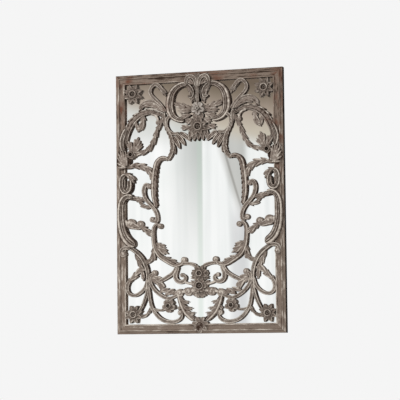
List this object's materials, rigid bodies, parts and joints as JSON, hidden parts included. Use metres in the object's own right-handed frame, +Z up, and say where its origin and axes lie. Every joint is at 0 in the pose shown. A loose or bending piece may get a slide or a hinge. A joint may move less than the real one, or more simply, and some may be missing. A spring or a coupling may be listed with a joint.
{
  "type": "carved wall mirror",
  "caption": "Tall rectangular wall mirror in a moulded wooden frame, its glass overlaid with carved openwork scrolls, leaves and flowers, with two swinging hanging rings on the back.",
  "frame": {"origin": "middle of the bottom edge of the frame, halfway through the depth of the rails", "axes": "+X to the right seen from the front, +Y towards the wall, +Z up"},
  "size_m": [0.8, 0.056, 1.2],
  "materials": {
    "frame_wood": "distressed, limed brown",
    "carved_wood": "distressed, limed taupe",
    "pale_wood": "limed, pale",
    "dowel_wood": "plain",
    "mirror": "silvered glass",
    "felt": "felt",
    "board": "fibreboard",
    "screw_steel": "zinc plated",
    "hanger_steel": "zinc plated",
    "rubber": "matt"
  },
  "bodies": {
    "frame": {"top_rail": "frame_wood", "bottom_rail": "frame_wood", "left_stile": "frame_wood", "right_stile": "frame_wood", "left_upper_openwork": "carved_wood", "left_middle_openwork": "carved_wood", "left_lower_openwork": "carved_wood", "right_upper_openwork": "carved_wood", "right_middle_openwork": "carved_wood", "right_lower_openwork": "carved_wood", "left_side_shell": "carved_wood", "left_side_ring": "carved_wood", "left_side_bracket": "carved_wood", "left_side_eye": "carved_wood", "left_side_flower": "carved_wood", "left_spray_flower": "carved_wood", "left_top_corner_flower": "carved_wood", "left_bottom_corner_flower": "carved_wood", "right_side_shell": "carved_wood", "right_side_ring": "carved_wood", "right_side_bracket": "carved_wood", "right_side_eye": "carved_wood", "right_side_flower": "carved_wood", "right_spray_flower": "carved_wood", "right_top_corner_flower": "carved_wood", "right_bottom_corner_flower": "carved_wood", "crest_finial": "carved_wood", "crest_rosette": "carved_wood", "upper_base_flower": "carved_wood", "lower_base_flower": "carved_wood", "bottom_boss": "carved_wood", "crest_flower": "pale_wood", "mitre_dowels": "dowel_wood", "mirror_glass": "mirror", "backing_felt": "felt", "backboard": "board", "backboard_screws": "screw_steel", "hanger_screws": "screw_steel", "left_hanger_plate": "hanger_steel", "right_hanger_plate": "hanger_steel", "wall_bumpers": "rubber"},
    "left_ring": {"left_hanger_ring": "hanger_steel"},
    "right_ring": {"right_hanger_ring": "hanger_steel"}
  },
  "joints": [
    {"name": "left_ring_swing", "type": "hinge", "parent": "frame", "child": "left_ring", "pos_m": [-0.3885, 0.0212, 0.936], "axis": [1, 0, 0], "range_deg": [0, 180]},
    {"name": "right_ring_swing", "type": "hinge", "parent": "frame", "child": "right_ring", "pos_m": [0.3885, 0.0212, 0.936], "axis": [1, 0, 0], "range_deg": [0, 180]}
  ]
}
